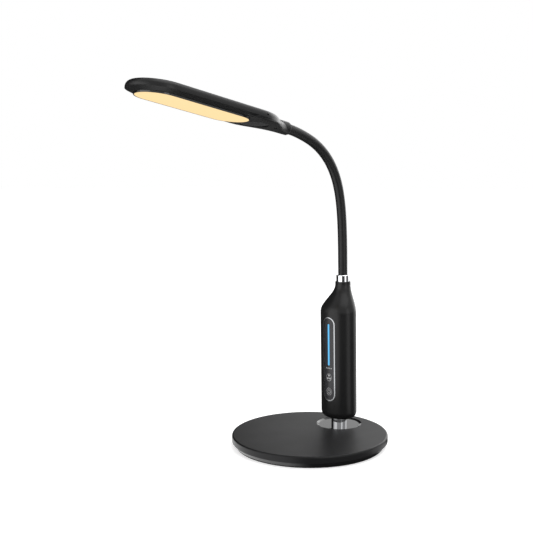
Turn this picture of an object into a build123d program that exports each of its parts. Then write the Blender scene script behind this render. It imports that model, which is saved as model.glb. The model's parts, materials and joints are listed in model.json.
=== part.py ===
"""Gooseneck desk lamp: weighted round base, chrome post, oval column with a touch panel,
chrome collar, bendable neck and a slim oblong lighting head.

Millimetres and degrees. The origin is the centre of the base where it stands on the table, +Z is up,
the head and the touch panel face -Y, and the lamp is symmetric about the plane X = 0.
The column is drawn upright about its own axis and the head level about the middle of its lit face;
both are then turned and moved to their places. The neck is a chain of rigid links on ball seats.
"""

import os
from math import cos, pi, radians, sin, sqrt

from build123d import *

# Base, from the table up
base_radius = 85.0
base_height = 12.9
base_edge_round = 1.6
base_seam_height = 5.9
base_foot_inset = 4.4
base_wall = 2.0
base_seam_reveal = 0.6
foot_pad_thickness = 1.2
foot_pad_inset = 0.4
bottom_plate_thickness = 2.0
weight_thickness = 5.8
weight_clearance = 0.6
boss_edge_distance = 23.0
boss_radius = 4.0
boss_count = 4
boss_start_angle = 45
boss_clearance = 0.6
base_screw_radius = 1.45
base_screw_head_radius = 2.8
base_screw_head_height = 1.1
base_screw_length = 6.5

# Post between base and column
recess_edge_distance = 9.4
post_radius = 8.6
post_bore_radius = 6.0
recess_radius = 25.7
recess_depth = 1.15
dish_rim_depth = 0.2
dish_wall_width = 2.7
dish_clearance = 0.2
stud_radius = 4.0
stud_bore_radius = 2.6
stud_clearance = 0.3
stud_nut_width = 12.0
stud_nut_height = 2.4
washer_radius = 8.6
washer_thickness = 0.6
top_nut_height = 4.0
nut_pocket_clearance = 0.8

# Column, measured along its own axis from its foot
column_foot_height = 20.3
column_lean = 1.2
column_half_width = 21.6
column_half_depth = 17.4
column_wall = 2.0
column_floor = 2.5
column_foot_round = 8.0
shoulder_height = 120.7
column_length = 154.4
column_neck_radius = 8.7
column_neck_length = 3.1
column_neck_back_margin = 0.1
column_neck_round = 0.5
shoulder_sections = 7
post_hole_clearance = 0.6
parting_setback = 4.0
lean_gap = 0.3

# Touch panel let into the front of the column
panel_half_width = 8.25
panel_low = 21.6
panel_shoulder_distance = 3.9
trim_width = 1.2
trim_depth = 0.9
trim_proud = 0.3
panel_fit = 0.05
lens_recess = 0.3
lens_thickness = 2.0
light_bar_half_width = 1.1
light_bar_low = 62.2
light_bar_end_distance = 7.8
light_bar_recess = 0.2
upper_touch_height = 48.6
lower_touch_height = 32.7

# Frame and electronics inside the column
spine_front = 8.0
spine_thickness = 1.6
spine_width = 18.0
foot_plate_half_width = 12.6
foot_plate_half_depth = 9.6
foot_plate_thickness = 3.0
shelf_shoulder_distance = 4.4
shelf_thickness = 3.0
frame_clearance = 0.3
board_gap = 0.6
board_thickness = 1.6
board_width = 15.0
board_low = 22.0
board_shelf_distance = 3.0
standoff_radius = 2.2
touch_spring_radius = 3.0
touch_spring_wire = 0.8
bar_led_count = 8
bar_led_size = (1.6, 0.8, 3.0)
chip_size = (4.0, 1.2, 5.0)
column_boss_radius = 3.2
lower_column_screw_height = 62.0
upper_screw_shelf_distance = 18.0
column_screw_radius = 1.2
column_screw_head_radius = 2.6
column_screw_head_height = 1.4
column_screw_length = 12.0

# Power inlet in the back of the column
inlet_height = 30.0
inlet_barrel_radius = 4.1
inlet_bore_radius = 2.85
inlet_depth = 9.5
inlet_pin_radius = 1.0
inlet_pin_length = 8.5
inlet_recess = 0.4
inlet_fit = 0.1
inlet_block = (10.0, 9.0, 9.6)

# Chrome collar and the neck's lower clamp
collar_radius = 7.45
collar_height = 7.3
collar_seat_depth = 7.0
collar_round = 0.5
ferrule_radius = 4.4
ferrule_bore_radius = 2.6
ferrule_flange_radius = 7.4
ferrule_flange_thickness = 3.0
ferrule_foot_radius = 6.0
ferrule_foot_thickness = 2.0
ferrule_nut_width = 12.0
ferrule_nut_height = 4.5
ferrule_tail = 6.5
bore_fit = 0.05

# Bendable neck
neck_radius = 5.25
first_hinge_distance = 9.8
link_pitch = 17.175
last_link_length = 7.5
seat_gap = 0.3
seat_start = 2.2
neck_seat_depth = 6.3
rest_bends = (0.0, 0.88, 1.65, 2.92, 5.48, 9.33, 12.53, 13.09, 12.07, 9.97, 5.27, 6.91)

# Head, measured from the middle of its lit face
lit_length = 125.0
lit_half_width = 20.7
frame_ring_width = 0.9
head_border = 8.7
head_seam_height = 4.4
head_height = 11.45
head_top_round = 5.6
head_wall = 2.0
bevel_land = 1.3
bevel_height = 1.5
bevel_tail_lead = 16.0
bevel_throat_length = 6.0
bevel_tail_half_width = 2.6
head_tail_start_distance = 2.75
head_tail_first_share = 0.501
head_tail_last_share = 0.372
head_throat_length = 3.75
head_throat_half_width = 6.6
belly_start_lead = 18.0
belly_start_half_width = 26.5
belly_start_depth = 2.85
belly_inset = 0.15
belly_shares = (0.0, 0.1, 0.2, 0.35, 0.5, 0.7, 0.85, 1.0)
belly_depths = (3.2, 3.6, 3.9, 4.15, 4.3, 4.55, 4.75, 4.85)
belly_fullness = (0.9, 0.85, 0.78, 0.66, 0.6, 0.57, 0.56, 0.55)
tail_length = 62.4
socket_radius = 6.9
socket_axis_height = 6.4
socket_mouth_round = 1.3
socket_swell_length = 24.0
socket_swell_end = 8.0
socket_swell_radius = 3.5
socket_seat_length = 12.0
wire_way_radius = 2.5

# Light source and small parts in the head
diffuser_skirt = 2.4
diffuser_flange_width = 2.2
diffuser_flange_thickness = 1.0
diffuser_round = 0.4
pocket_clearance = 0.2
crown_clearance = 1.1
tray_wall = 1.0
stack_gap = 0.1
led_board_thickness = 1.4
led_size = (3.5, 2.8, 0.8)
led_rows = 2
led_columns = 10
led_row_pitch = 20.0
led_end_margin = 15.2
spreader_thickness = 1.0
ring_thickness = 1.0
ring_radius = 6.0
end_bush_radius = 5.2
end_bush_length = 7.0
window_lit_distance = 4.0
window_screw_distance = 9.5
window_half_width = 17.0
window_recess = 0.6
window_front_height = 1.15
window_tilt = 1.9
window_thickness = 1.0
window_fit = 0.1
head_screw_socket_distance = 25.9
head_screw_offset = 9.5
head_screw_radius = 0.9
head_screw_head_radius = 1.7
head_screw_head_height = 1.2
head_screw_seat = 3.4
head_screw_length = 5.5
latch_slot_lit_distance = 4.5
latch_slot_height = 7.2
latch_slot_size = (3.0, 2.6, 1.1)


# Sizes and places in the base that follow from the sizes above
base_foot_radius = base_radius - base_foot_inset
weight_radius = base_foot_radius - base_wall - weight_clearance
boss_circle_radius = base_radius - boss_edge_distance
post_setback = base_radius - recess_radius - recess_edge_distance
plate_bottom = foot_pad_thickness
plate_top = plate_bottom + bottom_plate_thickness
weight_top = plate_top + weight_thickness
dish_top = base_height - recess_depth
dish_rim = base_height - dish_rim_depth
dish_radius = recess_radius - dish_clearance
stud_low = plate_top + bore_fit
washer_top = stud_low + stud_nut_height + washer_thickness

# Sizes and places in the column that follow
shoulder_length = column_length - column_neck_length - shoulder_height
column_neck_setback = column_half_depth - column_neck_radius - column_neck_back_margin
panel_high = shoulder_height - panel_shoulder_distance
light_bar_high = panel_high - light_bar_end_distance
shelf_height = shoulder_height - shelf_shoulder_distance
board_high = shelf_height - board_shelf_distance
column_screw_heights = (lower_column_screw_height, shelf_height - upper_screw_shelf_distance)
post_top = column_foot_height + column_floor - lean_gap
foot_plate_low = column_floor + bore_fit
foot_plate_top = foot_plate_low + foot_plate_thickness
top_nut_low = column_foot_height + foot_plate_top + lean_gap
collar_low = column_length - collar_seat_depth
collar_top = column_length + collar_height
root_link_low = column_length
board_front = spine_front + board_gap + board_thickness
lens_back = column_half_depth - lens_recess - lens_thickness

# Sizes and places in the head that follow
lit_end = lit_length / 2
socket_length = lit_end + tail_length
head_half_width = lit_half_width + head_border
head_tail_start = lit_end + head_tail_start_distance
head_tail_end = socket_length - head_throat_length
head_tail_first_handle = head_tail_first_share * (head_tail_end - head_tail_start)
head_tail_last_handle = head_tail_last_share * (head_tail_end - head_tail_start)
frame_ring_radius = lit_half_width + frame_ring_width
bevel_half_width = lit_half_width + bevel_land
bevel_tail_start = lit_end - bevel_tail_lead
bevel_tail_end = socket_length - bevel_throat_length
head_screw_distance = socket_length - head_screw_socket_distance
latch_slot_distance = lit_end + latch_slot_lit_distance
window_start = lit_end + window_lit_distance
window_end = head_screw_distance - window_screw_distance
window_half_length = (window_end - window_start) / 2
cavity_end = window_end
diffuser_flange_radius = lit_half_width + diffuser_flange_width
pocket_radius = diffuser_flange_radius + pocket_clearance
tray_low = diffuser_skirt + diffuser_flange_thickness + stack_gap
spreader_top = head_height - head_wall - crown_clearance
spreader_low = spreader_top - spreader_thickness
led_board_top = spreader_low - stack_gap
led_board_low = led_board_top - led_board_thickness
tray_top = led_board_low - stack_gap
led_column_pitch = (lit_length - 2 * led_end_margin) / (led_columns - 1)

column_place = Location((0, post_setback, column_foot_height), (column_lean, 0, 0))
post_place = Location((0, post_setback, 0))
neck_axis_place = Location((0, column_neck_setback, 0))


def cylinder(radius, low, high):
    """An upright cylinder between two heights."""
    return Pos(0, 0, low) * extrude(Circle(radius), high - low)


def tube(outer, inner, low, high):
    """An upright ring or tube between two heights."""
    return Pos(0, 0, low) * extrude(Circle(outer) - Circle(inner), high - low)


def hex_nut(width, bore, low, height):
    """A hexagon nut lying flat, with its width across flats."""
    outline = RegularPolygon(width / 2, 6, major_radius=False) - Circle(bore)
    return Pos(0, 0, low) * extrude(outline, height)


def around(count, radius, start_angle):
    """Places on a circle about the base's centre."""
    return PolarLocations(radius, count, start_angle)


def group(places, shape):
    """Separate copies of a shape at several places, kept together as one item."""
    return Compound(children=[place * shape for place in places])


def base_profile(points):
    """A disc-like solid turned about an upright axis from points given as radius and height."""
    outline = make_face(Polyline(*[(r, 0, z) for r, z in points], close=True))
    return revolve(outline, Axis.Z)


# ---------------------------------------------------------------- base
def base_top_cover():
    """Moulded lid: a flat top and a short upright rim, open round the dish."""
    inner_radius = base_radius - base_wall
    cover = cylinder(base_radius, base_seam_height, base_height)
    cover = fillet(cover.edges().group_by(Axis.Z)[-1], base_edge_round)
    cover -= cylinder(inner_radius, base_seam_height, base_height - base_wall)
    bosses = around(boss_count, boss_circle_radius, boss_start_angle) * cylinder(
        boss_radius, plate_top, base_height - base_wall
    )
    cover += bosses
    pilot = cylinder(base_screw_radius + bore_fit, plate_top, plate_top + base_screw_length)
    cover -= around(boss_count, boss_circle_radius, boss_start_angle) * pilot
    return cover - post_place * cylinder(recess_radius, base_seam_height, base_height)


def base_weight():
    """Steel disc that keeps the lamp standing, with a pocket for the stud's nut."""
    weight = cylinder(weight_radius, plate_top, weight_top)
    hole = cylinder(boss_radius + boss_clearance, plate_top, weight_top)
    weight -= around(boss_count, boss_circle_radius, boss_start_angle) * hole
    pocket_radius_wide = washer_radius + nut_pocket_clearance
    weight -= post_place * cylinder(pocket_radius_wide, plate_top, washer_top)
    return weight - post_place * cylinder(stud_radius + stud_clearance, washer_top, weight_top)


def base_bottom_cover():
    """Moulded tray under the weight, flaring from the foot up to the seam."""
    rim = base_radius - base_seam_reveal
    cover = base_profile(
        [
            (0, plate_bottom),
            (base_foot_radius, plate_bottom),
            (rim, base_seam_height),
            (rim - base_wall, base_seam_height),
            (base_foot_radius - base_wall, plate_top),
            (0, plate_top),
        ]
    )
    head = cylinder(
        base_screw_head_radius + bore_fit, plate_bottom, plate_bottom + base_screw_head_height
    )
    shank = cylinder(base_screw_radius + bore_fit, plate_bottom, plate_top)
    return cover - around(boss_count, boss_circle_radius, boss_start_angle) * (head + shank)


def base_foot_pad():
    """Soft anti-slip disc that the lamp stands on, glued over the screws."""
    return cylinder(base_foot_radius - foot_pad_inset, 0, foot_pad_thickness)


def base_screws():
    """Self-tapping screws up through the tray into the lid's bosses."""
    head = cylinder(base_screw_head_radius, plate_bottom, plate_bottom + base_screw_head_height)
    shank = cylinder(
        base_screw_radius, plate_bottom + base_screw_head_height, plate_top + base_screw_length
    )
    return group(around(boss_count, boss_circle_radius, boss_start_angle), head + shank)


# ---------------------------------------------------------------- post
def recess_dish():
    """Glossy moulded dish in the lid: a flat floor that the post stands on and a sloped wall."""
    hole_radius = stud_radius + stud_clearance
    dish = base_profile(
        [
            (hole_radius, weight_top),
            (dish_radius, weight_top),
            (dish_radius, dish_rim),
            (dish_radius - dish_wall_width, dish_top),
            (hole_radius, dish_top),
        ]
    )
    return post_place * dish


def post():
    """Chromed sleeve between the dish and the column."""
    return post_place * tube(post_radius, post_bore_radius, dish_top, post_top)


def post_stud():
    """Threaded hollow stud that ties base, post and column together and lets the wires through."""
    stud_top = top_nut_low + top_nut_height + bottom_plate_thickness
    return post_place * tube(stud_radius, stud_bore_radius, stud_low, stud_top)


def stud_lower_nut():
    return post_place * hex_nut(
        stud_nut_width, stud_radius + bore_fit, stud_low, stud_nut_height
    )


def stud_washer():
    low = stud_low + stud_nut_height
    return post_place * tube(washer_radius, stud_radius + bore_fit, low, washer_top)


def stud_upper_nut():
    return post_place * hex_nut(
        stud_nut_width, stud_radius + bore_fit, top_nut_low, top_nut_height
    )


# ---------------------------------------------------------------- column
def column_section(share_up, inset):
    """The column's oval outline on its shoulder, from full size (0) to the round neck (1)."""
    fullness = (1 + cos(pi * share_up)) / 2
    half_x = column_neck_radius + (column_half_width - column_neck_radius) * fullness - inset
    half_y = column_neck_radius + (column_half_depth - column_neck_radius) * fullness - inset
    setback = column_neck_setback * (1 - fullness)
    height = shoulder_height + shoulder_length * share_up
    return Pos(0, setback, height) * Ellipse(half_x, half_y)


def column_core(inset, low, high):
    """The straight part of the column, taken in by the inset."""
    outline = Ellipse(column_half_width - inset, column_half_depth - inset)
    return Pos(0, 0, low) * extrude(outline, high - low)


def column_form(inset, floor_height):
    """The column's trunk and shoulder, or their hollow when taken in by the wall."""
    trunk = column_core(inset, floor_height, shoulder_height)
    foot_edges = trunk.edges().group_by(Axis.Z)[0]
    trunk = fillet(foot_edges, column_foot_round - inset)
    steps = shoulder_sections - 1
    shoulder = loft([column_section(i / steps, inset) for i in range(shoulder_sections)])
    return trunk + shoulder


def stadium_prism(half_width, low, high):
    """An upright oblong with round ends, reaching forward from the column's axis."""
    outline = Rot(0, 0, 90) * SlotOverall(high - low, 2 * half_width)
    face = Plane.XZ * Pos(0, (low + high) / 2, 0) * outline
    return extrude(face, 2 * column_half_depth)


def panel_prism(inset):
    return stadium_prism(panel_half_width - inset, panel_low + inset, panel_high - inset)


def light_bar_prism(inset):
    half_width = light_bar_half_width - inset
    return stadium_prism(half_width, light_bar_low + inset, light_bar_high - inset)


def toward_back(radius, height, start, end):
    """A cylinder along Y, from one depth to another, at a height on the column's middle."""
    return Pos(0, start, height) * Rot(-90, 0, 0) * cylinder(radius, 0, end - start)


def column_shell():
    """The column's whole wall with its openings, before it is parted into two shells."""
    neck = cylinder(column_neck_radius, shoulder_height + shoulder_length, column_length)
    neck = fillet(neck.edges().group_by(Axis.Z)[-1], column_neck_round)
    shell = column_form(0, 0) + neck_axis_place * neck - column_form(column_wall, column_floor)
    collar_bore = collar_radius + bore_fit
    shell -= neck_axis_place * cylinder(
        collar_bore, collar_low - ferrule_flange_thickness - bore_fit, column_length
    )
    shell -= cylinder(post_radius + post_hole_clearance, 0, column_floor)
    shell -= panel_prism(0) - column_core(trim_depth, 0, shoulder_height)
    shell -= panel_prism(trim_width - panel_fit)
    shell -= toward_back(inlet_barrel_radius + inlet_fit, inlet_height, 0, column_half_depth)
    for height in column_screw_heights:
        seat = column_half_depth - column_screw_head_height
        shell -= toward_back(column_screw_head_radius + inlet_fit, height, seat, column_half_depth)
        shell -= toward_back(column_screw_radius + inlet_fit, height, 0, column_half_depth)
    return shell


def half_space(side):
    """A block on the back (+1) or the front (-1) of the column's parting plane."""
    depth = 3 * column_half_depth
    block = Box(3 * column_half_width, depth, 2 * column_length)
    return Pos(0, parting_setback + side * depth / 2, column_length / 2) * block


def panel_trim():
    """Bright trim ring round the touch panel, following the column's curve."""
    ring = panel_prism(panel_fit) - panel_prism(trim_width)
    outer = column_core(-trim_proud, 0, shoulder_height)
    return ring & outer - column_core(trim_depth, 0, shoulder_height)


def touch_lens():
    """Smoked panel behind the trim ring, with a slot for the light bar."""
    lens = panel_prism(trim_width + panel_fit)
    outer = column_core(lens_recess, 0, shoulder_height)
    inner = column_core(lens_recess + lens_thickness, 0, shoulder_height)
    return (lens & outer - inner) - light_bar_prism(0)


def light_bar():
    """Light pipe of the brightness bar, from the board's diodes out to the lens."""
    led_top = board_front + bar_led_size[1] + frame_clearance
    bar = light_bar_prism(panel_fit)
    bar &= column_core(light_bar_recess, 0, shoulder_height)
    back_block = Pos(0, -led_top / 2, column_length / 2) * Box(
        column_half_width, led_top, column_length
    )
    return bar - back_block


def column_frame():
    """Moulded frame: a foot plate on the post, a spine, and a shelf for the neck's clamp."""
    foot = Pos(0, 0, foot_plate_low) * extrude(
        Ellipse(foot_plate_half_width, foot_plate_half_depth), foot_plate_thickness
    )
    spine_height = shelf_height - foot_plate_low
    spine_middle = foot_plate_low + spine_height / 2
    spine = Pos(0, -(spine_front - spine_thickness / 2), spine_middle) * Box(
        spine_width, spine_thickness, spine_height
    )
    shelf = column_core(
        column_wall + frame_clearance, shelf_height, shelf_height + shelf_thickness
    )
    frame = foot + spine + shelf
    frame -= cylinder(stud_radius + stud_clearance, 0, foot_plate_top)
    frame -= neck_axis_place * cylinder(
        ferrule_radius + bore_fit, shelf_height, shelf_height + shelf_thickness
    )
    wall_depth = column_half_depth - column_wall - frame_clearance
    for height in column_screw_heights:
        boss = toward_back(column_boss_radius, height, -spine_front + spine_thickness / 2, wall_depth)
        pilot_start = column_half_depth - column_screw_length - frame_clearance
        frame += boss
        frame -= toward_back(column_screw_radius + bore_fit, height, pilot_start, wall_depth)
    standoff_low = board_low + 2 * standoff_radius
    standoff_high = board_high - 2 * standoff_radius
    for height in (standoff_low, standoff_high):
        stud = toward_back(standoff_radius, height, -(spine_front + board_gap), -spine_front)
        for side in (-1, 1):
            frame += Pos(side * (board_width / 2 - standoff_radius), 0, 0) * stud
    return frame


def control_board():
    """Circuit board behind the touch panel."""
    height = board_high - board_low
    depth = board_front - board_thickness / 2
    return Pos(0, -depth, board_low + height / 2) * Box(board_width, board_thickness, height)


def bar_leds():
    """Row of small diodes on the board behind the light bar."""
    width, thickness, height = bar_led_size
    pitch = (light_bar_high - light_bar_low) / bar_led_count
    depth = board_front + thickness / 2
    led = Box(width, thickness, height)
    heights = [light_bar_low + pitch * (i + 0.5) for i in range(bar_led_count)]
    return Compound(children=[Pos(0, -depth, z) * led for z in heights])


def board_chips():
    """Touch controller and dimmer driver beside the light bar."""
    width, thickness, height = chip_size
    offset = light_bar_half_width + width / 2 + frame_clearance
    depth = board_front + thickness / 2
    middle = (light_bar_low + light_bar_high) / 2
    chip = Box(width, thickness, height)
    places = [(-offset, middle - 2 * height), (offset, middle + 2 * height)]
    return Compound(children=[Pos(x, -depth, z) * chip for x, z in places])


def touch_springs():
    """Sprung contacts that press on the lens behind the two touch marks."""
    span = lens_back - board_front - frame_clearance
    coil = tube(touch_spring_radius, touch_spring_radius - touch_spring_wire, 0, span)
    forward = Rot(90, 0, 0) * coil
    heights = (lower_touch_height, upper_touch_height)
    return Compound(children=[Pos(0, -board_front, z) * forward for z in heights])


def column_depth_at(offset, inset):
    """How far the oval, taken in by the inset, reaches along Y beside the column's middle."""
    return (column_half_depth - inset) * sqrt(1 - (offset / (column_half_width - inset)) ** 2)


def power_inlet():
    """Barrel socket for the power supply, in the back of the column."""
    width, depth, height = inlet_block
    wall_depth = column_depth_at(width / 2, column_wall) - frame_clearance
    block = Pos(0, wall_depth - depth / 2, inlet_height) * Box(width, depth, height)
    mouth = column_half_depth - inlet_recess
    barrel = toward_back(inlet_barrel_radius, inlet_height, wall_depth, mouth)
    bore = toward_back(inlet_bore_radius, inlet_height, mouth - inlet_depth, mouth)
    return block + barrel - bore


def power_inlet_pin():
    mouth = column_half_depth - inlet_recess
    start = mouth - inlet_depth
    return toward_back(inlet_pin_radius, inlet_height, start, start + inlet_pin_length)


def column_screws():
    """Screws through the back shell into the frame."""
    screws = []
    for height in column_screw_heights:
        top = column_half_depth - frame_clearance
        seat = column_half_depth - column_screw_head_height
        head = toward_back(column_screw_head_radius, height, seat, top)
        shank = toward_back(
            column_screw_radius, height, column_half_depth - column_screw_length, seat
        )
        screws.append(head + shank)
    return Compound(children=screws)


def chrome_collar():
    """Chromed collar at the top of the column, where the neck comes out."""
    ring = tube(collar_radius, neck_radius + bore_fit, collar_low, collar_top)
    top_edges = ring.edges().group_by(Axis.Z)[-1]
    return neck_axis_place * chamfer(top_edges.sort_by(SortBy.LENGTH)[-1], collar_round)


def neck_ferrule():
    """Turned ferrule crimped to the neck's end and clamped to the frame's shelf."""
    shelf_top = shelf_height + shelf_thickness
    flange_low = collar_low - ferrule_flange_thickness
    ferrule = cylinder(ferrule_radius, shelf_height - ferrule_tail, root_link_low - neck_seat_depth)
    ferrule += cylinder(ferrule_flange_radius, flange_low, collar_low)
    ferrule += cylinder(ferrule_foot_radius, shelf_top, shelf_top + ferrule_foot_thickness)
    bore = cylinder(ferrule_bore_radius, shelf_height - ferrule_tail, column_length)
    return neck_axis_place * (ferrule - bore)


def ferrule_nut():
    return neck_axis_place * hex_nut(
        ferrule_nut_width,
        ferrule_radius + bore_fit,
        shelf_height - ferrule_nut_height,
        ferrule_nut_height,
    )


# ---------------------------------------------------------------- neck
def ball_top(height):
    """The round upper end of a link, centred on its hinge."""
    return Pos(0, 0, height) * Sphere(neck_radius)


def seat_hollow():
    """The hollow under a link that clears the ball below it."""
    return Sphere(neck_radius + seat_gap)


def neck_root():
    """Fixed lowest stretch of the neck, held in the collar."""
    hinge = collar_top + first_hinge_distance
    stretch = cylinder(neck_radius, root_link_low - neck_seat_depth, hinge)
    return neck_axis_place * (stretch + ball_top(hinge))


def neck_link():
    """One bending link, drawn from its lower hinge at the origin up to its upper hinge."""
    stretch = cylinder(neck_radius, seat_start, link_pitch) + ball_top(link_pitch)
    return stretch - seat_hollow()


def neck_end():
    """Last stretch of the neck, which ends in the head's socket."""
    stretch = cylinder(neck_radius, seat_start, last_link_length + socket_seat_length)
    return stretch - seat_hollow()


def step_along(point, angle, distance):
    """The point at a distance along the neck, whose angle is measured forward from upright."""
    y, z = point
    return (y - distance * sin(radians(angle)), z + distance * cos(radians(angle)))


def neck_frames():
    """Hinge points of the neck at rest with the direction above each, and the end of the neck."""
    angle = column_lean
    foot = step_along((post_setback, column_foot_height), angle, collar_top)
    start = step_along(foot, angle - 90, column_neck_setback)
    point = step_along(start, angle, first_hinge_distance)
    frames = []
    for index, bend in enumerate(rest_bends):
        if index > 0:
            point = step_along(point, angle, link_pitch)
        angle += bend
        frames.append((point, angle))
    end = step_along(point, angle, last_link_length)
    return frames, (end, angle)


def neck_place(point, angle):
    return Location((0, point[0], point[1]), (angle, 0, 0))


# ---------------------------------------------------------------- head
def oblong(half_width, low, high):
    """A level oblong with round ends as long as the lit face, widened to the half width."""
    length = lit_length + 2 * (half_width - lit_half_width)
    outline = Rot(0, 0, 90) * SlotOverall(length, 2 * half_width)
    return Pos(0, 0, low) * extrude(outline, high - low)


def head_outline(half_width, tail_half_width, tail_start, tail_end, handles):
    """The head's plan: a round nose, straight sides and a tail drawn in to the neck socket."""
    nose = lit_half_width - lit_end
    edges = [ThreePointArc((-half_width, nose), (0, nose - half_width), (half_width, nose))]
    for side in (1, -1):
        wide = side * half_width
        slim = side * tail_half_width
        first = (wide, tail_start + handles[0])
        last = (slim, tail_end - handles[1])
        edges.append(Line((wide, nose), (wide, tail_start)))
        edges.append(Bezier((wide, tail_start), first, last, (slim, tail_end)))
    edges.append(Line((tail_half_width, tail_end), (-tail_half_width, tail_end)))
    return make_face(edges)


def wide_outline(inset):
    """The plan at the seam, or that of the hollow when taken in by the wall."""
    return head_outline(
        head_half_width - inset,
        head_throat_half_width - inset,
        head_tail_start,
        head_tail_end,
        (head_tail_first_handle, head_tail_last_handle),
    )


def tail_side_at(share):
    """Half width and distance of the tail's side, from its start (0) to the throat (1)."""
    rest = 1 - share
    weights = (rest**3, 3 * rest**2 * share, 3 * rest * share**2, share**3)
    distances = (
        head_tail_start,
        head_tail_start + head_tail_first_handle,
        head_tail_end - head_tail_last_handle,
        head_tail_end,
    )
    wide_weight = weights[0] + weights[1]
    half_width = wide_weight * head_half_width + (1 - wide_weight) * head_throat_half_width
    return half_width, sum(w * d for w, d in zip(weights, distances))


def socket_cylinder(radius, start, end):
    """A cylinder along the neck socket's axis between two distances behind the lit face."""
    return Pos(0, 0, socket_axis_height) * toward_back(radius, 0, start, end)


def socket_body():
    """The round socket, which swells out of the tail and ends in a rounded mouth."""
    start = socket_length - socket_swell_length
    full = start + socket_swell_length / 2
    mouth = socket_length - socket_mouth_round
    lip = socket_radius - socket_mouth_round
    arc_middle = socket_mouth_round * sin(pi / 4)
    outline = [
        Line((0, start), (socket_swell_radius, start)),
        Bezier(
            (socket_swell_radius, start),
            (socket_swell_radius, full - socket_swell_end),
            (socket_radius, full - socket_swell_end),
            (socket_radius, full),
        ),
        Line((socket_radius, full), (socket_radius, mouth)),
        ThreePointArc(
            (socket_radius, mouth), (lip + arc_middle, mouth + arc_middle), (lip, socket_length)
        ),
        Line((lip, socket_length), (0, socket_length)),
        Line((0, socket_length), (0, start)),
    ]
    return Pos(0, 0, socket_axis_height) * revolve(make_face(outline), Axis.Y)


def head_form(inset):
    """The upper part of the head above the seam, or its hollow when taken in by the wall."""
    thickness = head_height - head_seam_height - inset
    form = Pos(0, 0, head_seam_height) * extrude(wide_outline(inset), thickness)
    top_edges = form.edges().group_by(Axis.Z)[-1]
    crown_edges = [edge for edge in top_edges if edge.center().Y < head_tail_end - bore_fit]
    return fillet(crown_edges, head_top_round - inset)


def belly_section(half_width, depth, fullness, distance):
    """An upright section across the tail's underside: straight at the seam and rounded below."""
    bottom = -depth
    low = fullness * bottom
    reach = fullness * half_width
    edges = [
        Line((-half_width, 0), (half_width, 0)),
        Bezier((half_width, 0), (half_width, low), (reach, bottom), (0, bottom)),
        Bezier((0, bottom), (-reach, bottom), (-half_width, low), (-half_width, 0)),
    ]
    upright = Plane.XZ * make_face(edges)
    return Pos(0, distance, head_seam_height) * upright


def tail_belly():
    """The rounded underside of the tail, from beside the lit face's end to the socket."""
    start = lit_end - belly_start_lead
    sections = [
        belly_section(belly_start_half_width, belly_start_depth, belly_fullness[0], start)
    ]
    for share, depth, fullness in zip(belly_shares, belly_depths, belly_fullness):
        half_width, distance = tail_side_at(share)
        sections.append(belly_section(half_width - belly_inset, depth, fullness, distance))
    return loft(sections)


def beside_seam(side):
    """A block above (+1) or below (-1) the head's seam."""
    height = 4 * head_height
    block = Box(3 * head_half_width, 4 * lit_length, height)
    return Pos(0, 0, head_seam_height + side * height / 2) * block


def head_screw_places():
    return Locations(
        (-head_screw_offset, head_screw_distance, 0), (head_screw_offset, head_screw_distance, 0)
    )


def socket_cut():
    """Everything that both covers leave free for the neck's end, its bush and the wires."""
    seat_start_distance = socket_length + ring_thickness - socket_seat_length
    cut = socket_cylinder(neck_radius + bore_fit, seat_start_distance, socket_length)
    cut += socket_cylinder(
        end_bush_radius + bore_fit, seat_start_distance - end_bush_length, seat_start_distance
    )
    return cut + socket_cylinder(wire_way_radius, cavity_end, socket_length)


def head_upper_cover():
    """Moulded upper shell with a soft round edge and the upper half of the socket."""
    cover = head_form(0)
    cavity = head_form(head_wall)
    cavity &= Pos(0, cavity_end - lit_length, head_height / 2) * Box(
        3 * head_half_width, 2 * lit_length, 2 * head_height
    )
    cover += socket_body() & beside_seam(1)
    cover -= cavity
    cover -= socket_cut()
    pilot = cylinder(
        head_screw_radius + bore_fit, head_seam_height, head_screw_seat + head_screw_length + bore_fit
    )
    cover -= head_screw_places() * pilot
    length, depth, height = latch_slot_size
    slot = Box(2 * depth, length, height)
    for side in (-1, 1):
        cover -= Pos(side * head_half_width, latch_slot_distance, latch_slot_height) * slot
    return cover


def head_lower_cover():
    """Moulded lower shell: a bevelled border round the lit face and the underside of the tail."""
    handle = (bevel_tail_end - bevel_tail_start) / 2
    slim = head_outline(
        bevel_half_width, bevel_tail_half_width, bevel_tail_start, bevel_tail_end, (handle, handle)
    )
    wide = wide_outline(0)
    cover = loft([Pos(0, 0, bevel_height) * slim, Pos(0, 0, head_seam_height) * wide], ruled=True)
    cover += tail_belly()
    cover += socket_body() & beside_seam(-1)
    cover -= oblong(frame_ring_radius + panel_fit, 0, head_seam_height)
    cover -= oblong(pocket_radius, diffuser_skirt, head_seam_height)
    cover -= socket_cut()
    cover -= window_plate(0, -window_thickness, window_recess + window_thickness)
    head_hole = cylinder(head_screw_head_radius + bore_fit, -head_screw_seat, head_screw_seat)
    shank_hole = cylinder(head_screw_radius + bore_fit, 0, head_seam_height)
    return cover - head_screw_places() * (head_hole + shank_hole)


def window_plate(inset, low, high):
    """An oval plate along the tail's underside, between two heights above its surface."""
    outline = Ellipse(window_half_width - inset, window_half_length - inset)
    plate = Pos(0, window_half_length, low) * extrude(outline, high - low)
    return Pos(0, window_start, window_front_height) * Rot(-window_tilt, 0, 0) * plate


def underside_window():
    """Glossy oval cover let into the underside behind the lit face."""
    return window_plate(window_fit, window_recess, window_recess + window_thickness)


def diffuser_frame():
    """Black ring pressed into the lower cover round the lit face."""
    ring = oblong(frame_ring_radius, 0, diffuser_skirt)
    return ring - oblong(lit_half_width + panel_fit, 0, diffuser_skirt)


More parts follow.
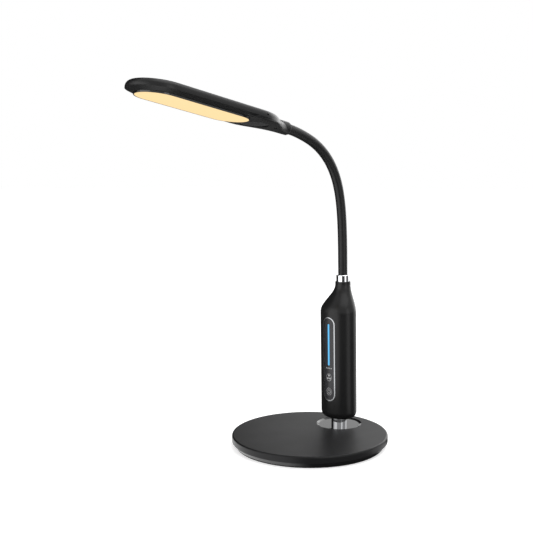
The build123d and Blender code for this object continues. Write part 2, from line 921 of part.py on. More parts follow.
def diffuser():
    """Opal lit face with a flange that rests in the lower cover."""
    face = oblong(lit_half_width, 0, diffuser_skirt)
    face = fillet(face.edges().group_by(Axis.Z)[0], diffuser_round)
    flange_top = diffuser_skirt + diffuser_flange_thickness
    return face + oblong(diffuser_flange_radius, diffuser_skirt, flange_top)


def reflector_tray():
    """White frame that spaces the diodes from the diffuser."""
    outer = oblong(diffuser_flange_radius, tray_low, tray_top)
    return outer - oblong(diffuser_flange_radius - tray_wall, tray_low, tray_top)


def led_board():
    """Metal-core board that carries the diodes."""
    return oblong(diffuser_flange_radius, led_board_low, led_board_top)


def head_leds():
    """Rows of diodes under the board."""
    length, width, thickness = led_size
    led = Box(width, length, thickness)
    depth = led_board_low - thickness / 2
    places = GridLocations(led_row_pitch, led_column_pitch, led_rows, led_columns)
    return group(places, Pos(0, 0, depth) * led)


def heat_spreader():
    """Aluminium plate on the back of the board."""
    return oblong(diffuser_flange_radius, spreader_low, spreader_top)


def socket_ring():
    """Soft ring between the head's socket and the neck."""
    ring = socket_cylinder(ring_radius, socket_length, socket_length + ring_thickness)
    bore = socket_cylinder(
        neck_radius + bore_fit, socket_length, socket_length + ring_thickness
    )
    return ring - bore


def neck_end_bush():
    """Metal bush crimped on the neck's end inside the socket."""
    end = socket_length + ring_thickness - socket_seat_length
    bush = socket_cylinder(end_bush_radius, end - end_bush_length, end)
    return bush - socket_cylinder(wire_way_radius, end - end_bush_length, end)


def head_screws():
    """Screws up through the lower cover into the upper one."""
    head_low = head_screw_seat - head_screw_head_height
    head = cylinder(head_screw_head_radius, head_low, head_screw_seat)
    shank = cylinder(head_screw_radius, head_screw_seat, head_screw_seat + head_screw_length)
    return group(head_screw_places(), head + shank)


# ---------------------------------------------------------------- assembly
hinge_frames, (neck_tip, head_angle) = neck_frames()


def head_place():
    """Where the head's own frame goes, so that its socket ends at the neck's tip."""
    turn = Location((0, 0, 0), (head_angle - 90, 0, 0))
    socket_end = Pos(0, socket_length + ring_thickness, socket_axis_height)
    return Pos(0, neck_tip[0], neck_tip[1]) * turn * socket_end.inverse()


nodes = {
    "base_top_cover": base_top_cover(),
    "base_weight": base_weight(),
    "base_bottom_cover": base_bottom_cover(),
    "base_foot_pad": base_foot_pad(),
    "base_screws": base_screws(),
    "recess_dish": recess_dish(),
    "post": post(),
    "post_stud": post_stud(),
    "stud_lower_nut": stud_lower_nut(),
    "stud_washer": stud_washer(),
    "stud_upper_nut": stud_upper_nut(),
}

whole_shell = column_shell()
column_nodes = {
    "column_front_shell": whole_shell & half_space(-1),
    "column_rear_shell": whole_shell & half_space(1),
    "panel_trim": panel_trim(),
    "touch_lens": touch_lens(),
    "light_bar": light_bar(),
    "column_frame": column_frame(),
    "control_board": control_board(),
    "bar_leds": bar_leds(),
    "board_chips": board_chips(),
    "touch_springs": touch_springs(),
    "power_inlet": power_inlet(),
    "power_inlet_pin": power_inlet_pin(),
    "column_screws": column_screws(),
    "chrome_collar": chrome_collar(),
    "neck_ferrule": neck_ferrule(),
    "ferrule_nut": ferrule_nut(),
    "neck_root": neck_root(),
}
for name, shape in column_nodes.items():
    nodes[name] = column_place * shape

for index, (point, angle) in enumerate(hinge_frames[:-1], start=1):
    nodes[f"neck_link_{index:02d}"] = neck_place(point, angle) * neck_link()
nodes["neck_end"] = neck_place(*hinge_frames[-1]) * neck_end()

head_nodes = {
    "head_upper_cover": head_upper_cover(),
    "head_lower_cover": head_lower_cover(),
    "diffuser": diffuser(),
    "diffuser_frame": diffuser_frame(),
    "reflector_tray": reflector_tray(),
    "led_board": led_board(),
    "head_leds": head_leds(),
    "heat_spreader": heat_spreader(),
    "underside_window": underside_window(),
    "socket_ring": socket_ring(),
    "neck_end_bush": neck_end_bush(),
    "head_screws": head_screws(),
}
for name, shape in head_nodes.items():
    nodes[name] = head_place() * shape

os.makedirs("parts", exist_ok=True)
for name, shape in nodes.items():
    export_step(shape, f"parts/{name}.step")
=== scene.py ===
import json
from math import atan2, cos, pi, radians, sin, tan

import bpy
from mathutils import Matrix, Vector


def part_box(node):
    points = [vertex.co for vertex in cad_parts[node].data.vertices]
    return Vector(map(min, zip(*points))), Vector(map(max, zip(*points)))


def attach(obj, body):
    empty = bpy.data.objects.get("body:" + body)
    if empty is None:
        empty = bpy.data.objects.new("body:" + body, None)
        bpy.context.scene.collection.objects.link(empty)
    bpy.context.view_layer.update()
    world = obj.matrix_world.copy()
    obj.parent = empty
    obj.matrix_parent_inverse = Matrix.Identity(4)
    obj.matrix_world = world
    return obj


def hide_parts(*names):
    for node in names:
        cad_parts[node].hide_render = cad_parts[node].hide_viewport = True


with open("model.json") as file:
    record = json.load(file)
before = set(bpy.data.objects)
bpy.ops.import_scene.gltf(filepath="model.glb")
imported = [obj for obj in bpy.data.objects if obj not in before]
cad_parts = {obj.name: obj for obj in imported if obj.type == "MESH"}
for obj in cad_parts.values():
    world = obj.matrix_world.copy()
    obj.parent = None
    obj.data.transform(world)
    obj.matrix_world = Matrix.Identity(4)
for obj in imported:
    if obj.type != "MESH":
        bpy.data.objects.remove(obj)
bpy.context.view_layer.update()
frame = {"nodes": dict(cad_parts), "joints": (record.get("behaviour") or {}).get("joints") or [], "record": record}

# Camera. It stands in front of the lamp and well over to its +X side, a little lower than the head and
# looking slightly down through a long lens, so the head points left and towards the viewer.
picture_width = 533
focal_pixels = 850
principal_x = 310.4
sensor_width = 36
farthest_seen = 50
camera_distance = 0.909
camera_height = 0.2851
camera_azimuth = radians(41.5)
camera_pitch = radians(5.64)
camera_roll = radians(0.17)
camera_data = bpy.data.cameras.new("main_camera")
camera_data.sensor_width = sensor_width
camera_data.lens = sensor_width * focal_pixels / picture_width
camera_data.shift_x = (picture_width / 2 - principal_x) / picture_width
camera_data.clip_end = farthest_seen
camera = bpy.data.objects.new("main_camera", camera_data)
bpy.context.collection.objects.link(camera)
bpy.context.scene.camera = camera
away = Vector((-sin(camera_azimuth), cos(camera_azimuth), 0))
sight = away * cos(camera_pitch) - Vector((0, 0, sin(camera_pitch)))
level_right = Vector((cos(camera_azimuth), sin(camera_azimuth), 0))
level_up = level_right.cross(sight)
right = level_right * cos(camera_roll) + level_up * sin(camera_roll)
up = level_up * cos(camera_roll) - level_right * sin(camera_roll)
camera_turn = Matrix((right, up, -sight)).transposed().to_4x4()
camera_place = -away * camera_distance + Vector((0, 0, camera_height))
camera.matrix_world = Matrix.Translation(camera_place) @ camera_turn

# Studio. A large pale table surface under an even pale sky, both white where the camera, a mirror or
# glass looks at them, with one soft box overhead and three upright ones: to the left, to the right and
# behind the lamp.
bpy.context.scene.view_settings.view_transform = "Standard"
sky_light = 0.6
floor_size = 60
floor_shade = 0.9
floor_lift = 0.5


def node_tree(owner):
    """Empties a material's or the world's node tree and returns its nodes and links."""
    owner.use_nodes = True
    owner.node_tree.nodes.clear()
    return owner.node_tree.nodes, owner.node_tree.links


def seen_ray(nodes, links):
    """One where the camera, a mirror or glass looks straight at the surface, zero for its light."""
    path = nodes.new("ShaderNodeLightPath")
    total = path.outputs["Is Camera Ray"]
    for name in ("Is Glossy Ray", "Is Transmission Ray"):
        add = nodes.new("ShaderNodeMath")
        add.operation = "ADD"
        add.use_clamp = True
        links.new(total, add.inputs[0])
        links.new(path.outputs[name], add.inputs[1])
        total = add.outputs[0]
    return total


world = bpy.data.worlds.new("studio")
bpy.context.scene.world = world
nodes, links = node_tree(world)
sky = nodes.new("ShaderNodeMix")
sky.data_type = "RGBA"
sky.inputs["A"].default_value = (sky_light, sky_light, sky_light, 1)
sky.inputs["B"].default_value = (1, 1, 1, 1)
links.new(seen_ray(nodes, links), sky.inputs["Factor"])
background = nodes.new("ShaderNodeBackground")
links.new(sky.outputs["Result"], background.inputs["Color"])
links.new(background.outputs[0], nodes.new("ShaderNodeOutputWorld").inputs["Surface"])

bpy.ops.mesh.primitive_plane_add(size=floor_size)
floor = bpy.context.active_object
floor.name = "studio_floor"
floor_paint = bpy.data.materials.new("studio_floor")
nodes, links = node_tree(floor_paint)
floor_shader = nodes.new("ShaderNodeBsdfPrincipled")
floor_shader.inputs["Base Color"].default_value = (floor_shade, floor_shade, floor_shade, 1)
floor_shader.inputs["Roughness"].default_value = 0.9
floor_shader.inputs["Specular IOR Level"].default_value = 0
floor_shader.inputs["Emission Color"].default_value = (1, 1, 1, 1)
lift = nodes.new("ShaderNodeMath")
lift.operation = "MULTIPLY"
lift.inputs[1].default_value = floor_lift
links.new(seen_ray(nodes, links), lift.inputs[0])
links.new(lift.outputs[0], floor_shader.inputs["Emission Strength"])
links.new(floor_shader.outputs[0], nodes.new("ShaderNodeOutputMaterial").inputs["Surface"])
floor.data.materials.append(floor_paint)


def soft_box(name, place, aim, width, height, power):
    """A rectangular soft light at a place, aimed at a point."""
    light = bpy.data.lights.new(name, "AREA")
    light.shape = "RECTANGLE"
    light.size = width
    light.size_y = height
    light.energy = power
    box = bpy.data.objects.new(name, light)
    bpy.context.collection.objects.link(box)
    direction = (Vector(aim) - Vector(place)).to_track_quat("-Z", "Y")
    box.matrix_world = Matrix.Translation(place) @ direction.to_matrix().to_4x4()


def toward(azimuth, distance, height):
    """A place around the lamp, by its angle in degrees from the camera round to the picture's right."""
    angle = camera_azimuth + radians(azimuth)
    return (sin(angle) * distance, -cos(angle) * distance, height)


lamp_middle = (0, 0, 0.25)
soft_box("top_box", (0.3, 0.2, 1.6), aim=(0, 0, 0.1), width=1.6, height=1.2, power=10)
soft_box("left_box", toward(-54, 1.5, 0.6), aim=lamp_middle, width=1.3, height=1.2, power=8.3)
soft_box("right_box", toward(44, 1.5, 0.6), aim=lamp_middle, width=0.6, height=1.2, power=4)
soft_box("rim_box", toward(141, 1.6, 0.6), aim=lamp_middle, width=1.6, height=1.4, power=12)

# Banded glow sheet. A dim glowing sheet laid round the lamp, which only mirror-like surfaces see. Its glow is
# painted light, bright in three fans that run out from the post to the upright boxes, so that painted reflections
# of the boxes go on down the lamp's sides, and a little less dim behind the lamp.
glow_sheet_size = 9
glow_sheet_height = 0.0002
glow_sheet_dim = 0.05
glow_sheet_back = 0.12
left_fan = 2.4
right_fan = 1.5
rim_fan = 1.2
# Each stop is an angle round the post, counted as in toward(), and the painted light the sheet gives there.
glow_sheet_bands = (
    (-160, glow_sheet_back),
    (-154, glow_sheet_dim),
    (-86, glow_sheet_dim),
    (-80, left_fan),
    (-28, left_fan),
    (-14, glow_sheet_dim),
    (27, glow_sheet_dim),
    (33, right_fan),
    (55, right_fan),
    (61, glow_sheet_dim),
    (100, glow_sheet_dim),
    (106, rim_fan),
    (140, rim_fan),
    (160, glow_sheet_back),
)


def mirrored_sheet(name, size, place, turn):
    """A square glowing sheet that only mirror-like surfaces see. Returns its nodes, links and glow."""
    bpy.ops.mesh.primitive_plane_add(size=size, location=place, rotation=turn)
    sheet = bpy.context.active_object
    sheet.name = name
    sheet.visible_camera = False
    sheet.visible_diffuse = False
    sheet.visible_transmission = False
    sheet.visible_shadow = False
    paint = bpy.data.materials.new(name)
    nodes, links = node_tree(paint)
    glow = nodes.new("ShaderNodeEmission")
    links.new(glow.outputs[0], nodes.new("ShaderNodeOutputMaterial").inputs["Surface"])
    sheet.data.materials.append(paint)
    return nodes, links, glow


low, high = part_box("post")
post_foot = Vector((0, (low.y + high.y) / 2, glow_sheet_height))
glow_sheet_turn = (0, 0, camera_azimuth - pi / 2)
nodes, links, glow = mirrored_sheet("banded_glow_sheet", glow_sheet_size, post_foot, glow_sheet_turn)
# A radial ramp round the post paints the sheet's glow: bright fans of painted light, dim between them.
coordinates = nodes.new("ShaderNodeTexCoord")
around = nodes.new("ShaderNodeTexGradient")
around.gradient_type = "RADIAL"
links.new(coordinates.outputs["Object"], around.inputs["Vector"])
ramp = nodes.new("ShaderNodeValToRGB")
links.new(around.outputs["Fac"], ramp.inputs["Fac"])
links.new(ramp.outputs["Color"], glow.inputs["Color"])
ramp.color_ramp.interpolation = "EASE"
for stop in ramp.color_ramp.elements:
    stop.color = (glow_sheet_back, glow_sheet_back, glow_sheet_back, 1)
for angle, light in glow_sheet_bands:
    ramp.color_ramp.elements.new(0.5 + angle / 360).color = (light, light, light, 1)

# Black card. It stands behind the lamp on the left and only mirror-like surfaces see it. It paints dark
# reflections along the left edges of the dark pieces.
card_size = 2.8
card_shade = 0.02
card_place = Vector(toward(-137.5, 1.8, 0.9))
card_turn = (Vector(lamp_middle) - card_place).to_track_quat("Z", "Y").to_euler()
nodes, links, glow = mirrored_sheet("black_card", card_size, card_place, card_turn)
glow.inputs["Color"].default_value = (card_shade, card_shade, card_shade, 1)

# Base covers. Two satin black ABS mouldings, a flat lid over a tray that flares up from its foot, screwed
# together from below. The mould gives them a fine matt grain, and handling a faint patchiness.


def new_group(name, inputs):
    """An empty shader node group that puts out a height and patches, with its two end nodes."""
    group = bpy.data.node_groups.new(name, "ShaderNodeTree")
    for socket, kind, value in inputs:
        made = group.interface.new_socket(socket, in_out="INPUT", socket_type=kind)
        if value is not None:
            made.default_value = value
    for socket in ("Height", "Patches"):
        group.interface.new_socket(socket, in_out="OUTPUT", socket_type="NodeSocketFloat")
    return group, group.nodes.new("NodeGroupInput"), group.nodes.new("NodeGroupOutput")


def add_noise(group, vector, scale, detail, output):
    """A noise in a group, from a vector and a scale socket to one of the group's outputs."""
    noise = group.nodes.new("ShaderNodeTexNoise")
    noise.inputs["Detail"].default_value = detail
    group.links.new(vector, noise.inputs["Vector"])
    group.links.new(scale, noise.inputs["Scale"])
    group.links.new(noise.outputs["Fac"], output)


grain_group, grain_in, grain_out = new_group(
    "moulded_grain",
    [
        ("Vector", "NodeSocketVector", None),
        ("Grain Scale", "NodeSocketFloat", 3000.0),
        ("Patch Scale", "NodeSocketFloat", 30.0),
    ],
)
for scale, detail, output in (("Grain Scale", 2, "Height"), ("Patch Scale", 5, "Patches")):
    vector = grain_in.outputs["Vector"]
    add_noise(grain_group, vector, grain_in.outputs[scale], detail, grain_out.inputs[output])


def finish(name, color, roughness, group=None, relief=0, spread=0, shade=0, sockets=None):
    """A Principled material whose roughness, shade and relief are varied by one of the groups.

    The relief is in metres. Roughness varies by its spread, and the colour by the share in shade.
    """
    material = bpy.data.materials.new(name)
    nodes, links = node_tree(material)
    shader = nodes.new("ShaderNodeBsdfPrincipled")
    links.new(shader.outputs[0], nodes.new("ShaderNodeOutputMaterial").inputs["Surface"])
    shader.inputs["Base Color"].default_value = (*color, 1)
    shader.inputs["Roughness"].default_value = roughness
    for socket, value in (sockets or {}).items():
        shader.inputs[socket].default_value = value
    if group is None:
        return material
    texture = nodes.new("ShaderNodeGroup")
    texture.node_tree = group
    coordinates = nodes.new("ShaderNodeTexCoord")
    links.new(coordinates.outputs["Object"], texture.inputs["Vector"])
    rough = nodes.new("ShaderNodeMapRange")
    rough.inputs["To Min"].default_value = roughness - spread
    rough.inputs["To Max"].default_value = roughness + spread
    links.new(texture.outputs["Patches"], rough.inputs["Value"])
    links.new(rough.outputs["Result"], shader.inputs["Roughness"])
    tone = nodes.new("ShaderNodeMix")
    tone.data_type = "RGBA"
    tone.inputs["A"].default_value = (*[part * (1 - shade) for part in color], 1)
    tone.inputs["B"].default_value = (*[min(1, part * (1 + shade)) for part in color], 1)
    links.new(texture.outputs["Patches"], tone.inputs["Factor"])
    links.new(tone.outputs["Result"], shader.inputs["Base Color"])
    if relief:
        bump = nodes.new("ShaderNodeBump")
        bump.inputs["Distance"].default_value = relief
        links.new(texture.outputs["Height"], bump.inputs["Height"])
        links.new(bump.outputs["Normal"], shader.inputs["Normal"])
    return material


def wear(material, *names):
    """Gives CAD nodes a material in place of the plain one they came with."""
    for name in names:
        node = frame["nodes"][name]
        node.data.materials.clear()
        node.data.materials.append(material)


satin_black = finish(
    "satin_black",
    (0.009, 0.009, 0.0095),
    roughness=0.42,
    group=grain_group,
    relief=2e-6,
    spread=0.04,
    shade=0.1,
    sockets={"Specular IOR Level": 0.15},
)
wear(satin_black, "base_top_cover", "base_bottom_cover")

# Base weight, screws, stud, nuts and springs. Zinc-plated steel, punched, turned or wound, and out of
# sight inside the lamp but for the heads of the screws. It has the hairlines of turned metal.
brush_group, brush_in, brush_out = new_group(
    "brushed_lines",
    [
        ("Vector", "NodeSocketVector", None),
        ("Stretch", "NodeSocketVector", (1.0, 1.0, 60.0)),
        ("Line Scale", "NodeSocketFloat", 120.0),
        ("Patch Scale", "NodeSocketFloat", 40.0),
    ],
)
stretch = brush_group.nodes.new("ShaderNodeVectorMath")
stretch.operation = "MULTIPLY"
brush_group.links.new(brush_in.outputs["Vector"], stretch.inputs[0])
brush_group.links.new(brush_in.outputs["Stretch"], stretch.inputs[1])
for vector, scale, detail, output in (
    (stretch.outputs[0], "Line Scale", 4, "Height"),
    (brush_in.outputs["Vector"], "Patch Scale", 4, "Patches"),
):
    add_noise(brush_group, vector, brush_in.outputs[scale], detail, brush_out.inputs[output])

plain_steel = finish(
    "plain_steel",
    (0.55, 0.55, 0.57),
    roughness=0.35,
    group=brush_group,
    relief=2e-6,
    spread=0.08,
    shade=0.1,
    sockets={"Metallic": 1},
)
wear(
    plain_steel,
    "base_weight",
    "base_screws",
    "post_stud",
    "stud_lower_nut",
    "stud_washer",
    "stud_upper_nut",
    "column_screws",
    "ferrule_nut",
    "head_screws",
    "touch_springs",
    "neck_end_bush",
)

# Foot pad. A disc of soft black foam rubber, punched from sheet and glued under the tray, so that the
# lamp neither slides nor scratches.
foot_foam = finish(
    "foot_foam",
    (0.018, 0.018, 0.018),
    roughness=0.85,
    group=grain_group,
    relief=6e-5,
    spread=0.08,
    shade=0.25,
    sockets={"Specular IOR Level": 0.2},
)
wear(foot_foam, "base_foot_pad")

# Post, collar and dish. The post is a chromed steel sleeve that stands in a polished black dish sunk in
# the lid. The collar at the top of the column has the same plating.
chrome = finish(
    "chrome",
    (0.82, 0.83, 0.85),
    roughness=0.05,
    group=brush_group,
    spread=0.02,
    shade=0.03,
    sockets={"Metallic": 1},
)
wear(chrome, "post", "chrome_collar")
dish_gloss = finish(
    "dish_gloss", (0.006, 0.006, 0.0065), roughness=0.06, group=grain_group, spread=0.02, shade=0.1
)
wear(dish_gloss, "recess_dish")

# Column shells. Two soft black mouldings with a fine grain, parted along the sides and screwed together
# from behind.
soft_black = finish(
    "soft_black",
    (0.01, 0.01, 0.0103),
    roughness=0.3,
    group=grain_group,
    relief=2e-6,
    spread=0.04,
    shade=0.1,
    sockets={"Specular IOR Level": 0.2},
)
wear(soft_black, "column_front_shell", "column_rear_shell")

# Touch panel. A satin aluminium ring round a smoked acrylic lens, both set in the front shell. A blue
# light pipe in the lens shows the brightness.
bright_trim = finish(
    "bright_trim",
    (0.31, 0.315, 0.325),
    roughness=0.28,
    group=brush_group,
    spread=0.06,
    shade=0.05,
    sockets={"Metallic": 1},
)
wear(bright_trim, "panel_trim")
smoked_lens = finish(
    "smoked_lens",
    (0.03, 0.03, 0.033),
    roughness=0.25,
    group=grain_group,
    spread=0.04,
    shade=0.1,
    sockets={"Specular IOR Level": 0.25},
)
wear(smoked_lens, "touch_lens")
blue_light = finish(
    "blue_light",
    (0.01, 0.03, 0.05),
    roughness=0.4,
    sockets={
        "Specular IOR Level": 0.1,
        "Emission Color": (0.135, 0.56, 0.98, 1),
        "Emission Strength": 1,
    },
)
wear(blue_light, "light_bar")

# Touch marks. Thin pale signs printed on the lens: three dots in a ring for the colour of the light, a
# power sign in a ring, and a row of four dots under the brightness bar. Their heights are measured from
# the lens's lower end.
mark_standoff = 0.005
mark_squeeze = 0.87
ink_thickness = 0.00008
ring_radius = 0.004
ring_line = 0.0003
ring_sides = 64
dot_sides = 24
colour_mark_height = 0.0258
colour_dot_radius = 0.00105
colour_dot_distance = 0.0021
power_mark_height = 0.0097
power_arc_radius = 0.0021
power_line = 0.0005
power_half_gap = radians(32)
power_stroke_rise = 0.0016
power_stroke_length = 0.0022
dot_row_height = 0.0362
dot_row_radius = 0.0007
dot_row_pitch = 0.0025
weld = 1e-6
mark_ink = finish(
    "mark_ink", (0.55, 0.55, 0.56), roughness=0.5, group=grain_group, spread=0.05, shade=0.08
)
lens_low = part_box("touch_lens")[0]
mark_plane = lens_low.y - mark_standoff
mark_pieces = []


def printed_arc(height, radius, line, half_gap=0):
    """A printed ring round a height on the lens's middle, open at the top by twice the half gap.

    A single vertex is drawn out to the line's width, and the line is spun clockwise.
    """
    middle = Vector((0, mark_plane, lens_low.z + height))
    outward = Vector((sin(half_gap), 0, cos(half_gap)))
    inner_end = middle + outward * (radius - line / 2)
    bpy.ops.object.select_all(action="DESELECT")
    bpy.ops.mesh.primitive_circle_add(vertices=3, radius=line, location=inner_end)
    made = bpy.context.active_object
    bpy.ops.object.transform_apply(location=True, rotation=True, scale=True)
    bpy.ops.object.mode_set(mode="EDIT")
    bpy.ops.mesh.select_all(action="SELECT")
    bpy.ops.mesh.merge(type="CENTER")
    bpy.ops.mesh.extrude_vertices_move(TRANSFORM_OT_translate={"value": outward * line})
    bpy.ops.mesh.select_all(action="SELECT")
    turn = 2 * (pi - half_gap)
    bpy.ops.mesh.spin(steps=ring_sides, angle=-turn, center=middle, axis=(0, 1, 0), dupli=False)
    bpy.ops.object.mode_set(mode="OBJECT")
    mark_pieces.append(made)


def printed_dot(across, height, radius):
    """A printed dot at a place across the lens and above its lower end."""
    bpy.ops.object.select_all(action="DESELECT")
    bpy.ops.mesh.primitive_circle_add(
        vertices=dot_sides,
        radius=radius,
        fill_type="TRIFAN",
        location=(across, mark_plane, lens_low.z + height),
        rotation=(pi / 2, 0, 0),
    )
    mark_pieces.append(bpy.context.active_object)


def printed_stroke(height, length, line):
    """A printed upright stroke on the lens's middle, cut by lines that let it follow the curve."""
    bpy.ops.object.select_all(action="DESELECT")
    bpy.ops.mesh.primitive_grid_add(
        x_subdivisions=2,
        y_subdivisions=2,
        size=1,
        location=(0, mark_plane, lens_low.z + height),
        rotation=(pi / 2, 0, 0),
    )
    made = bpy.context.active_object
    made.scale = (line, length, 1)
    mark_pieces.append(made)


printed_arc(colour_mark_height, ring_radius, ring_line)
for angle in (0, 120, 240):
    across = sin(radians(angle)) * colour_dot_distance
    rise = cos(radians(angle)) * colour_dot_distance
    printed_dot(across, colour_mark_height + rise, colour_dot_radius)
printed_arc(power_mark_height, ring_radius, ring_line)
printed_arc(power_mark_height, power_arc_radius, power_line, power_half_gap)
printed_stroke(power_mark_height + power_stroke_rise, power_stroke_length, power_line)
for place in (-1.5, -0.5, 0.5, 1.5):
    printed_dot(place * dot_row_pitch, dot_row_height, dot_row_radius)

bpy.ops.object.select_all(action="DESELECT")
for made in mark_pieces:
    made.select_set(True)
marks = mark_pieces[0]
bpy.context.view_layer.objects.active = marks
bpy.ops.object.join()
marks.name = "touch_marks"
marks.scale.x = mark_squeeze
bpy.ops.object.transform_apply(location=True, rotation=True, scale=True)
bpy.ops.object.mode_set(mode="EDIT")
bpy.ops.mesh.select_all(action="SELECT")
bpy.ops.mesh.remove_doubles(threshold=weld)
bpy.ops.object.mode_set(mode="OBJECT")
wrap = marks.modifiers.new("onto_the_lens", "SHRINKWRAP")
wrap.target = frame["nodes"]["touch_lens"]
wrap.wrap_method = "PROJECT"
wrap.use_project_y = True
bpy.ops.object.modifier_apply(modifier=wrap.name)
ink = marks.modifiers.new("ink", "SOLIDIFY")
ink.thickness = ink_thickness
ink.offset = 0
bpy.ops.object.modifier_apply(modifier=ink.name)
marks.data.materials.append(mark_ink)
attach(marks, "root")

# Column frame and electronics. A grey glass-filled frame in the column carries a green board with its
# chips and diodes. The power inlet is moulded like the frame, with a brass pin, and a brass ferrule
# clamps the neck.
grey_moulding = finish(
    "grey_moulding",
    (0.07, 0.07, 0.075),
    roughness=0.5,
    group=grain_group,
    relief=4e-6,
    spread=0.08,
    shade=0.15,
)
wear(grey_moulding, "column_frame", "power_inlet")
board_green = finish(
    "board_green", (0.02, 0.14, 0.05), roughness=0.35, group=grain_group, spread=0.08, shade=0.2
)
wear(board_green, "control_board")
chip_black = finish(
    "chip_black",
    (0.015, 0.015, 0.015),
    roughness=0.5,
    group=grain_group,
    relief=2e-6,
    spread=0.08,
    shade=0.2,
)
wear(chip_black, "board_chips")
diode = finish(
    "diode", (0.9, 0.85, 0.45), roughness=0.3, group=grain_group, spread=0.05, shade=0.05
)
wear(diode, "bar_leds", "head_leds")
brass = finish(
    "brass",
    (0.7, 0.52, 0.24),
    roughness=0.25,
    group=brush_group,
    relief=2e-6,
    spread=0.08,
    shade=0.1,
    sockets={"Metallic": 1},
)
wear(brass, "power_inlet_pin", "neck_ferrule")

# Neck. The gooseneck's smooth matt rubber sleeve, drawn over the wound core and made as one curved length
# to each link. Each length above the foot starts in a dome that turns inside the one before it, so the
# sleeve stays closed as the neck bends.
sleeve_radius = 0.00525
sleeve_sides = 48
dome_turn = radians(80)
dome_steps = 8
bend_steps = 6
straight_steps = 4
smallest_turn = 1e-4
smallest_gap = 1e-5
last_reach_share = 0.95
end_share = 0.997
socket_depth = 0.012
sleeve = finish(
    "neck_sleeve",
    (0.006, 0.006, 0.0062),
    roughness=0.42,
    group=grain_group,
    relief=3e-6,
    spread=0.05,
    shade=0.15,
    sockets={"Specular IOR Level": 0.25},
)
hinges = [Vector(joint["pos_m"]) for joint in frame["joints"]]
link = hinges[1] - hinges[0]
pitch = link.length
first_direction = link.normalized()
low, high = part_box("socket_ring")
neck_top = (low + high) / 2
path = [hinges[0] - link] + hinges + [neck_top]


def sleeve_ring(name, middle, direction, radius, fill="NOTHING"):
    """Starts a length of sleeve as a ring of vertices square to the neck."""
    bpy.ops.object.select_all(action="DESELECT")
    bpy.ops.mesh.primitive_circle_add(
        vertices=sleeve_sides,
        radius=radius,
        fill_type=fill,
        location=middle,
        rotation=(-atan2(direction.y, direction.z), 0, 0),
    )
    made = bpy.context.active_object
    made.name = name
    bpy.ops.object.transform_apply(location=True, rotation=True, scale=True)
    bpy.ops.object.mode_set(mode="EDIT")
    bpy.ops.mesh.select_all(action="SELECT")
    return made


def run_straight(move, steps=1):
    """Carries the ring along a straight line."""
    for step in range(steps):
        bpy.ops.mesh.extrude_region_move(TRANSFORM_OT_translate={"value": move / steps})


def sleeve_dome(name, middle, direction):
    """Starts a length of sleeve as a closed dome whose widest ring is at the given middle."""
    turns = [dome_turn * (1 - step / dome_steps) for step in range(dome_steps + 1)]
    centres = [middle - direction * sleeve_radius * sin(turn) for turn in turns]
    made = sleeve_ring(name, centres[0], direction, sleeve_radius * cos(turns[0]), "TRIFAN")
    bpy.ops.mesh.region_to_loop()
    for step in range(dome_steps):
        run_straight(centres[step + 1] - centres[step])
        growth = cos(turns[step + 1]) / cos(turns[step])
        bpy.ops.transform.resize(value=(growth,) * 3, center_override=centres[step + 1])
    return made


class Bend:
    """The arc that rounds the neck's line at a hinge, between the points where it meets the line."""

    def __init__(self, below, hinge, above):
        self.before = (hinge - below).normalized()
        self.after = (above - hinge).normalized()
        self.reach = min(pitch / 2, last_reach_share * (above - hinge).length)
        self.start = hinge - self.before * self.reach
        self.end = hinge + self.after * self.reach
        self.middle = hinge
        self.turn = self.before.angle(self.after)
        self.straight = self.turn < smallest_turn
        if not self.straight:
            self.side = 1 if self.before.cross(self.after).x > 0 else -1
            across = Vector((0, self.before.z, -self.before.y)) * -self.side
            radius = self.reach / tan(self.turn / 2)
            self.centre = self.start + across * radius
            self.middle = self.centre + (hinge - self.centre).normalized() * radius

    def run_half(self, share=1):
        """Carries the ring through a share of one half of the arc."""
        if self.straight:
            run_straight(self.after * self.reach * share, bend_steps)
            return
        bpy.ops.mesh.spin(
            steps=bend_steps,
            angle=-self.side * self.turn / 2 * share,
            center=self.centre,
            axis=(1, 0, 0),
            dupli=False,
        )


def finish_length(made, body, replaced):
    """Welds and smooths a length of sleeve, and lets it ride on a body in place of a CAD node."""
    bpy.ops.mesh.select_all(action="SELECT")
    bpy.ops.mesh.remove_doubles(threshold=weld)
    bpy.ops.mesh.normals_make_consistent(inside=False)
    bpy.ops.object.mode_set(mode="OBJECT")
    bpy.ops.object.shade_smooth()
    made.data.materials.append(sleeve)
    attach(made, body)
    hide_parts(replaced)


bends = [Bend(*path[number : number + 3]) for number in range(len(hinges))]
first_bend = bends[0]
root_height = first_bend.start.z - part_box("neck_root")[0].z
foot = first_bend.start - first_direction * root_height / first_direction.z
length = sleeve_ring("neck_sleeve_foot", foot, first_direction, sleeve_radius)
run_straight(first_bend.start - foot)
first_bend.run_half(end_share)
finish_length(length, "root", "neck_root")

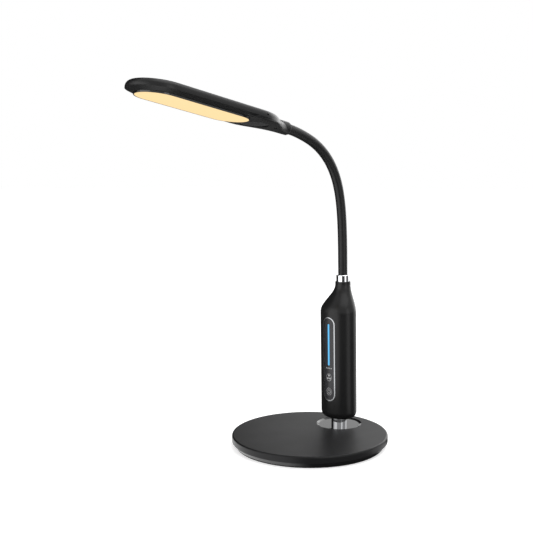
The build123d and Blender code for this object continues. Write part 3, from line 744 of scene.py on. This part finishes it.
bodies = frame["record"]["behaviour"]["bodies"]
for number, (bend, joint) in enumerate(zip(bends, frame["joints"]), start=1):
    direction = (bend.before + bend.after).normalized()
    length = sleeve_dome(f"neck_sleeve_{number:02d}", bend.middle, direction)
    bend.run_half()
    if number < len(bends):
        following = bends[number]
        gap = following.start - bend.end
        if gap.length > smallest_gap:
            run_straight(gap, straight_steps)
        following.run_half(end_share)
        replaced = bodies[joint["child"]][0]
    else:
        run_straight(neck_top + bend.after * socket_depth - bend.end)
        replaced = "neck_end"
    finish_length(length, joint["child"], replaced)

# Head covers. Two halves of the same soft black moulding as the column, with a seam round the edge. The
# oval window and the thin frame round the lit face are glossy black, and a rubber ring closes the socket.
wear(soft_black, "head_upper_cover", "head_lower_cover")
underside_gloss = finish(
    "underside_gloss", (0.006, 0.006, 0.007), roughness=0.08, group=grain_group, spread=0.02, shade=0.1
)
wear(underside_gloss, "underside_window", "diffuser_frame")
seal_rubber = finish(
    "seal_rubber",
    (0.01, 0.01, 0.01),
    roughness=0.7,
    group=grain_group,
    relief=4e-6,
    spread=0.08,
    shade=0.2,
    sockets={"Specular IOR Level": 0.3},
)
wear(seal_rubber, "socket_ring")

# Lit face and what is behind it. A warm opal diffuser over a white tray, and the white board of the
# diodes on an aluminium plate that spreads their heat.
opal_lit = finish(
    "opal_lit",
    (0.04, 0.03, 0.02),
    roughness=0.5,
    sockets={"Emission Color": (0.99, 0.735, 0.376, 1), "Emission Strength": 1},
)
wear(opal_lit, "diffuser")
white_tray = finish(
    "white_tray",
    (0.8, 0.8, 0.78),
    roughness=0.5,
    group=grain_group,
    relief=2e-6,
    spread=0.08,
    shade=0.05,
)
wear(white_tray, "reflector_tray")
board_white = finish(
    "board_white", (0.75, 0.76, 0.76), roughness=0.35, group=grain_group, spread=0.08, shade=0.05
)
wear(board_white, "led_board")
spreader_aluminium = finish(
    "spreader_aluminium",
    (0.7, 0.7, 0.71),
    roughness=0.35,
    group=brush_group,
    relief=2e-6,
    spread=0.08,
    shade=0.08,
    sockets={"Metallic": 1},
)
wear(spreader_aluminium, "heat_spreader")
